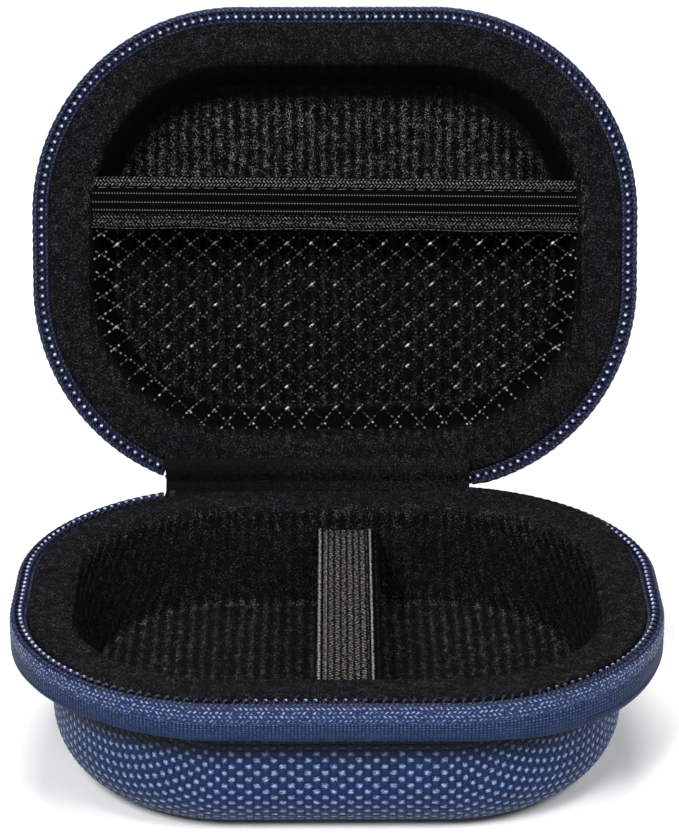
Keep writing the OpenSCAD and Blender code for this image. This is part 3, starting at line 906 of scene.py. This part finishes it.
def tape_relief(t, s, d, z):
    outer = (d < 0.2) & (z > SEAM_Z)
    slant = np.abs((s / TAPE_ROW) % 2 - 1) * TAPE_SLANT
    return np.where(outer, 0.05 * np.sin(np.pi * (t + slant) / TAPE_PICK), 0.0)


def binding_outline():
    edge = BINDING_EDGE
    return np.concatenate([
        resample([(-1.05, SEAM_Z + 0.02), (edge + 0.05, SEAM_Z - 0.12), (edge, SEAM_Z - 0.4)], 0.15),
        resample([(edge, SEAM_Z - 0.5), (edge, BINDING_Z + 1.1)], 0.3),
        resample(arc((edge + 1.1, BINDING_Z + 1.1), 1.1, 180, 270, 9), 0.2),
        resample([
            (-0.2, BINDING_Z), (2.4, BINDING_Z), (2.4, -6.1),
            (-0.5, -6.1), (-0.5, -5), (-0.9, -5),
        ], 0.5),
    ])


def binding_wobble(seed, drop):
    """Gentle waves, and a lower edge that drops at the right front corner."""
    phase = np.random.default_rng(seed).uniform(0, 2 * np.pi, 6)

    def wobble(t, d, z):
        wave = sum(np.sin(t * (0.11 + 0.13 * k) + phase[k]) / (k + 1) for k in range(6)) * 0.07
        low = np.clip((SEAM_Z - z) / 3.0, 0, 1)
        corner = drop * np.exp(-(((t - knots[3] - quarter / 2) / 20) ** 2))
        return d + wave * low * 0.6, z + (wave - corner) * low

    return wobble


def coil(name, place, body, nodes):
    """A spiral of teeth: one turn for each pitch, leaning along the zip."""
    turns = int((t_left - t_right) / COIL_PITCH)
    points = 16
    k = np.arange(turns * points + 1)
    phase = 2 * np.pi * k / points
    t = t_right + 0.3 + k / points * COIL_PITCH
    lean = 0.18 * np.sin(phase)
    core, normal = outline(t + lean)
    d = 0.05 + 0.44 * np.cos(phase)
    z = COIL_Z + 0.04 + 0.3 * np.sin(phase)
    path = np.concatenate([core + normal * (CORNER_R - d)[:, None], z[:, None]], -1)
    head = 0.18 + 0.07 * np.clip(np.sin(phase), 0, 1)
    verts, quads, caps = tubes(path[None], head[None], sides=8)
    # Where each turn carries its painted highlight, passed to the material in the cloth coordinates;
    # mostly left off where the lining covers the teeth.
    top = np.exp(-((np.sin((phase - 1.2) / 2) / 0.115) ** 2))
    if body == "base":
        top = top * (1 - 0.9 * tucked(t))
    uv = np.stack([np.repeat(top, 8), np.zeros(len(k) * 8)], -1)
    make(name, place(verts), [quads, caps], COIL, body, uv, nodes)


STITCH_SHARE = np.linspace(0, 1, 6)
STITCH_TAPER = np.array([0.5, 1, 1, 1, 1, 0.5])
SEAM_PITCH = 1.9


def seam_stitches(name, place, body, nodes):
    """A row of short stitches round the seam of tape and binding."""
    starts = np.arange(t_right + 1, t_left - 1, SEAM_PITCH)
    t = starts[:, None] + STITCH_SHARE * SEAM_PITCH * 0.72
    core, normal = outline(t)
    d = -1.3 - 0.06 * np.sin(np.pi * STITCH_SHARE)
    path = core + normal * (CORNER_R - d)[None, :, None]
    path = np.concatenate([path, np.full(t.shape + (1,), SEAM_Z - 0.02)], -1)
    verts, quads, caps = tubes(path, 0.1 * STITCH_TAPER[None])
    make(name, place(verts), [quads, caps], THREAD, body, nodes=nodes)


for half, place, seed, drop in (("base", place_base, 3, 1.3), ("lid", place_lid, 4, 0.0)):
    sweep(f"{half}_tape_folded", tape_outline(), zip_run, place, TAPE, half,
          [f"{half}_zip_tape"], tape_relief)
    sweep(f"{half}_binding_ribbon", binding_outline(), zip_run, place, RIBBON, half,
          [f"{half}_edge_binding"], wobble=binding_wobble(seed, drop))
    coil(f"{half}_coil_spiral", place, half, [f"{half}_zip_coil"])
    seam_stitches(f"{half}_seam_stitches", place, half, [f"{half}_seam_thread"])


# ---- Strap across the base ----

strap_low, strap_high = (np.array(v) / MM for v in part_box("base_elastic_strap"))


def strap_relief(x, y):
    """Height over the strap: x runs across it from the left edge, y along it."""
    zig = 1 - np.abs(x % 2 - 1)
    field = 0.03 * np.cos(2 * np.pi * (y + zig * 0.49) / STRAP_PICK)
    cords = ((0.45, 0.4, 0.3), (1.65, 0.16, 0.16), (8.5, 0.32, 0.26), (9.6, 0.25, 0.1))
    ribs = sum(size * np.exp(-(((x - at) / width) ** 2)) for at, width, size in cords)
    groove = -0.2 * np.exp(-(((x - 1.05) / 0.22) ** 2)) - 0.1 * np.exp(-(((x - 9.05) / 0.2) ** 2))
    return field + ribs + groove


def strap():
    width = strap_high[0] - strap_low[0]
    x = np.linspace(0, width, 96)
    y = np.linspace(strap_low[1], strap_high[1], 300)
    xx, yy = np.meshgrid(x, y, indexing="ij")
    top = strap_high[2] - 0.25 + strap_relief(xx, yy)
    edge = np.clip(np.minimum(xx, width - xx) / 0.25, 0, 1)
    top = np.where(edge < 1, top - 0.3 * (1 - edge) ** 2, top)
    across = xx + strap_low[0] + 0.3 * (yy / strap_high[1] + 1) / 2
    high = np.stack([across, yy, top], -1) * MM
    low = np.stack([across, yy, np.full(xx.shape, strap_low[2] + 0.1)], -1) * MM
    return slab("base_strap_elastic", low, high, yy, xx, STRAP, "base", "strap_elastic",
                ["base_elastic_strap"])


strap_piece = strap()


# ---- Pocket in the lid ----

SHEET_Z = -3.2
BAND_TOP_Z = SHEET_Z + 0.3 + 1.1
BAND_HALF = HALF_W - LIP_D + 0.1
TILT = math.radians(0.6)
CELL_X, CELL_Y = 4.0, 3.4
KNOT_LEAN = math.radians(38)


def band_relief(x, v):
    """Height over the band: x runs along it, v across it from its free edge."""
    chevron = np.cos(2 * np.pi * (x + np.abs((v / 0.55) % 2 - 1) * 0.35) / 0.62)
    top = np.exp(-(((v - 0.75) / 0.65) ** 4)) * (0.16 + 0.08 * chevron)
    dots = 0.5 + 0.5 * np.cos(2 * np.pi * x / 0.42)
    lines = sum(np.exp(-(((v - at) / 0.14) ** 2)) for at in (2.8, 4.3, 5.6)) * (0.08 + 0.1 * dots)
    low = np.exp(-(((v - 7.5) / 1.0) ** 4)) * (0.12 + 0.08 * chevron)
    hem = np.exp(-(((v - 8.55) / 0.16) ** 2)) * 0.16
    return top + lines + low + hem


def band():
    x = np.linspace(-BAND_HALF, BAND_HALF, 540)
    v = np.linspace(0, BAND_W, 64)
    xx, vv = np.meshgrid(x, v, indexing="ij")
    sag = 0.12 * np.sin(xx * 0.33) * np.clip((vv - 6) / 2.8, 0, 1)
    y = BAND_LOW_Y - BAND_W + vv + sag + xx * math.tan(TILT)
    edge = np.clip(np.minimum(vv, BAND_W - vv) / 0.3, 0, 1)
    z = BAND_TOP_Z - 0.25 + band_relief(xx, vv) - 0.35 * (1 - edge) ** 2
    high = place_lid(np.stack([xx, y, z], -1))
    low = place_lid(np.stack([xx, y, np.full(xx.shape, SHEET_Z + 0.35)], -1))
    return slab("pocket_band_elastic", low, high, xx, vv, BAND, "lid", "band_elastic",
                ["pocket_elastic_band"])


def band_stitches():
    start = np.arange(-BAND_HALF + 1, BAND_HALF - 2, 2.2)
    x = start[:, None] + STITCH_SHARE * 1.6
    z = BAND_TOP_Z - 0.2 + 0.12 * np.sin(np.pi * STITCH_SHARE) + 0 * x
    rows = []
    for v in (1.9, BAND_W - 1.2):
        y = BAND_LOW_Y - BAND_W + v + x * math.tan(TILT)
        rows.append(np.stack([x, y, z], -1))
    verts, quads, caps = tubes(np.concatenate(rows), 0.09 * STITCH_TAPER[None])
    return make("pocket_stitches", place_lid(verts), [quads, caps], DARK_THREAD, "lid",
                nodes=["pocket_band_stitches"])


def pocket_inset(p):
    """Distance of points inside the hollow's lip, and the direction to it."""
    core = np.stack([np.clip(p[..., 0], -CORE_X, CORE_X), np.clip(p[..., 1], -CORE_Y, CORE_Y)], -1)
    away = p - core
    length = np.linalg.norm(away, axis=-1)
    direction = away / np.maximum(length, 1e-6)[..., None]
    return CORNER_R - LIP_D - length, direction


def kept_off_lip(path):
    """Points moved inwards so that none lies in the lip, with how far inside it they are."""
    inset, direction = pocket_inset(path)
    path = path - direction * np.clip(-0.35 - inset, 0, None)[..., None]
    return path, pocket_inset(path)[0]


def net_height(inset):
    return SHEET_Z - 1.6 * np.sin(np.pi / 2 * np.clip(inset / 22, 0, 1))


def net():
    """Knitted diamond net: strands between knots, pulled long where they meet the lip."""
    rows = int((HALF_D - LIP_D - BAND_LOW_Y + 3) / (CELL_Y / 2)) + 2
    cols = int(2 * BAND_HALF / CELL_X) + 3
    j, i = np.meshgrid(np.arange(rows), np.arange(cols), indexing="ij")
    x = (i - (cols - 1) / 2) * CELL_X + (j % 2) * CELL_X / 2
    y = BAND_LOW_Y - 1.2 + j * CELL_Y / 2
    knot = np.stack([x, y], -1) + rng.normal(0, 0.08, x.shape + (2,))
    inset, direction = pocket_inset(knot)
    pull = np.clip(6 - inset, 0, 9) ** 2 / 22
    knot = knot + direction * pull[..., None]
    strands = []
    for r in range(rows - 1):
        for c in range(cols):
            for side in ((0, 1) if r % 2 else (-1, 0)):
                if 0 <= c + side < cols:
                    strands.append((knot[r, c], knot[r + 1, c + side]))
    strands = np.array(strands)
    inset, _ = pocket_inset(strands)
    keep = inset.max(1) > 0.0
    strands, inset = strands[keep], inset[keep]
    share = np.linspace(0, 1, 22)
    path = strands[:, :1] * (1 - share)[None, :, None] + strands[:, 1:] * share[None, :, None]
    path, inset = kept_off_lip(path)
    z = net_height(inset) + rng.normal(0, 0.05, len(path))[:, None]
    path = np.concatenate([path, z[..., None]], -1)
    bead = np.abs(np.sin(share * np.pi * 3.5))[None] ** 2 + 0 * z
    radii = 0.13 + 0.06 * bead
    # Painted highlights on the beads: random, weaker on strands of one slant and stronger near the lip.
    falling = (strands[:, 1, 0] > strands[:, 0, 0])[:, None]
    edge = np.clip(1.5 - inset / 3, 0, 1)
    shine = bead**3 * rng.uniform(0.0, 1.0, bead.shape) * (np.where(falling, 0.2, 0.3) + 0.7 * edge)
    verts, quads, caps = tubes(path, radii)
    bright = np.repeat(shine[..., None], 6, axis=2).ravel()

    spots = knot.reshape(-1, 2)
    strong = np.repeat(np.arange(rows) % 2 == 0, cols)
    inset, _ = pocket_inset(spots)
    spots, strong, inset = spots[inset > 0.6], strong[inset > 0.6], inset[inset > 0.6]
    along = np.linspace(-1, 1, 7)
    lean = np.array([math.cos(KNOT_LEAN), -math.sin(KNOT_LEAN)])
    length = rng.uniform(0.45, 0.8, len(spots))[:, None, None]
    line = spots[:, None] + lean[None, None] * along[None, :, None] * length
    z = net_height(inset)[:, None] + 0.12 + 0 * line[..., 0]
    line = np.concatenate([line, z[..., None]], -1)
    thick = 0.17 * np.sqrt(1.15 - along**2)
    more, more_quads, more_caps = tubes(line, thick[None], sides=8)
    # Painted highlights on the knots: strong on every other row, faint on the rest.
    glint = rng.uniform(0.15, 1.0, len(spots)) * np.where(strong, 0.9, 0.12)
    lit = (glint[:, None, None] * np.exp(-((along / 0.6) ** 2))[None, :, None] * np.ones(8)).ravel()
    quads = np.concatenate([quads, more_quads + len(verts)])
    shown = np.concatenate([bright, lit])
    uv = np.stack([shown, 0 * shown], -1)
    all_verts = place_lid(np.concatenate([verts, more]))
    faces = [quads, caps, more_caps + len(verts)]
    return make("pocket_net", all_verts, faces, NET, "lid", uv, ["pocket_mesh"])


band_piece = band()
band_thread = band_stitches()
net_piece = net()


# ---- Hinge ----


def hinge_strip(name, line, thickness, fold, left, right, material, slot, nodes):
    """Fabric over the hinge: line is its closed shape as (y, z), folded from -fold to fold in z."""
    line = resample(line, 0.35)
    tangent = np.gradient(line, axis=0)
    tangent /= np.linalg.norm(tangent, axis=1)[:, None]
    normal = np.stack([tangent[:, 1], -tangent[:, 0]], -1)
    share = ease((line[:, 1] + fold) / (2 * fold))
    run = np.cumsum(np.linalg.norm(np.diff(line, axis=0, prepend=line[:1]), axis=1))
    waist = 0.6 * np.sin(np.pi * run / run[-1])
    along = np.linspace(0, 1, 120)[:, None]
    xx = (left + waist)[None] * (1 - along) + right * along
    ripple = 0.03 * np.sin(xx * 0.5) + 0.02 * np.sin(xx * 1.3)
    taper = np.clip(np.minimum(run, run[-1] - run) / 0.8, 0.15, 1)[None]
    faces = []
    for offset in (0.0, thickness):
        yz = line[None] + normal[None] * (taper * (offset + ripple * (offset != 0)))[..., None]
        p = np.concatenate([xx[..., None], yz], -1)
        faces.append(turned(p, np.broadcast_to(share, xx.shape)))
    obj = slab(name, *faces, xx, np.broadcast_to(run, xx.shape), material, None, slot, nodes)
    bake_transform(obj)


hinge_strip(
    "hinge_strip_outer", [(HINGE_CUT_Y + 0.3, -7.0), (HINGE_CUT_Y + 0.3, 7.0)], 0.4, 1.4,
    STRIP_LEFT, STRIP_RIGHT, OUTER, "hinge_outer",
    ["hinge_outer_strip_base", "hinge_outer_strip_lid"],
)
inner_line = [
    (HALF_D - 2.6, -1.6), (HALF_D - 1.4, -1.3), (HALF_D - 0.75, -0.8), (HALF_D - 0.55, 0.0),
    (HALF_D - 0.9, 0.14), (HALF_D - 2.4, 0.24), (HALF_D - 4.4, 0.5),
]
hinge_strip(
    "hinge_strip_inner", inner_line, -0.3, 0.9, STRIP_LEFT + 0.1, STRIP_RIGHT, INNER, "hinge_inner",
    ["hinge_inner_strip_lid"],
)


# ---- CAD nodes that keep their shape ----


def finish_node(name, material, bevel=0.0):
    obj = frame["nodes"][name]
    obj.data.materials.clear()
    obj.data.materials.append(material)
    if bevel:
        rounded = obj.modifiers.new("edge", "BEVEL")
        rounded.width = bevel * MM
        rounded.segments = 2
        rounded.limit_method = "ANGLE"
        rounded.angle_limit = math.radians(40)


for node in ("slider_body", "slider_bridge", "pull_tab"):
    finish_node(node, METAL, 0.15)
for node in ("zip_closed_end_stop", "zip_tail_stop"):
    finish_node(node, STOP, 0.2)
for node in ("base_foam_shell", "lid_foam_shell"):
    finish_node(node, FOAM)
finish_node("base_floor_pad", FOAM)
finish_node("zip_tape_tail", TAPE_FLAT, 0.1)


# ---- Floor, light and camera ----


def surface(name, size, colour):
    mesh = bpy.data.meshes.new(name)
    corners = [(-size, -size, 0), (size, -size, 0), (size, size, 0), (-size, size, 0)]
    mesh.from_pydata(corners, [], [(0, 1, 2, 3)])
    obj = linked(name, mesh)
    look = Look(name, roughness=0.9, specular=0.1)
    look.colour(colour)
    mesh.materials.append(look.material)


def lamp(name, place, target, size, power):
    data = bpy.data.lights.new(name, "AREA")
    data.shape = "RECTANGLE"
    data.size, data.size_y = size
    data.energy = power
    obj = linked(name, data)
    obj.location = place
    obj.rotation_euler = (Vector(target) - Vector(place)).to_track_quat("-Z", "Y").to_euler()


surface("floor", 3.0, (0.72, 0.72, 0.72, 1.0))
middle = (0.0, 0.01, 0.05)
lamp("key_left", (-0.23, -0.56, 0.55), middle, (0.22, 0.22), 8.3)
lamp("key_right", (0.37, -0.49, 0.57), middle, (0.2, 0.2), 4.1)
lamp("top", (0.0, 0.26, 0.92), middle, (0.5, 0.4), 9.0)

world = bpy.data.worlds.new("studio")
world.use_nodes = True
world.node_tree.nodes["Background"].inputs[0].default_value = (1, 1, 1, 1)
world.node_tree.nodes["Background"].inputs[1].default_value = 0.3
bpy.context.scene.world = world
bpy.context.scene.view_settings.view_transform = "Standard"

CAMERA_PITCH = math.radians(22.14)
CAMERA_YAW = math.radians(-0.357)
CAMERA_DISTANCE = 0.47505
CAMERA_TARGET = Vector((0.00041, 0.0, 0.05455))
back = Vector((
    math.sin(CAMERA_YAW) * math.cos(CAMERA_PITCH),
    -math.cos(CAMERA_YAW) * math.cos(CAMERA_PITCH),
    math.sin(CAMERA_PITCH),
))
camera = linked("camera", bpy.data.cameras.new("camera"))
camera.data.sensor_width = 36
camera.data.lens = 134.77
camera.data.clip_start = 0.01
camera.location = CAMERA_TARGET + back * CAMERA_DISTANCE
camera.rotation_euler = (-back).to_track_quat("-Z", "Y").to_euler()
bpy.context.scene.camera = camera
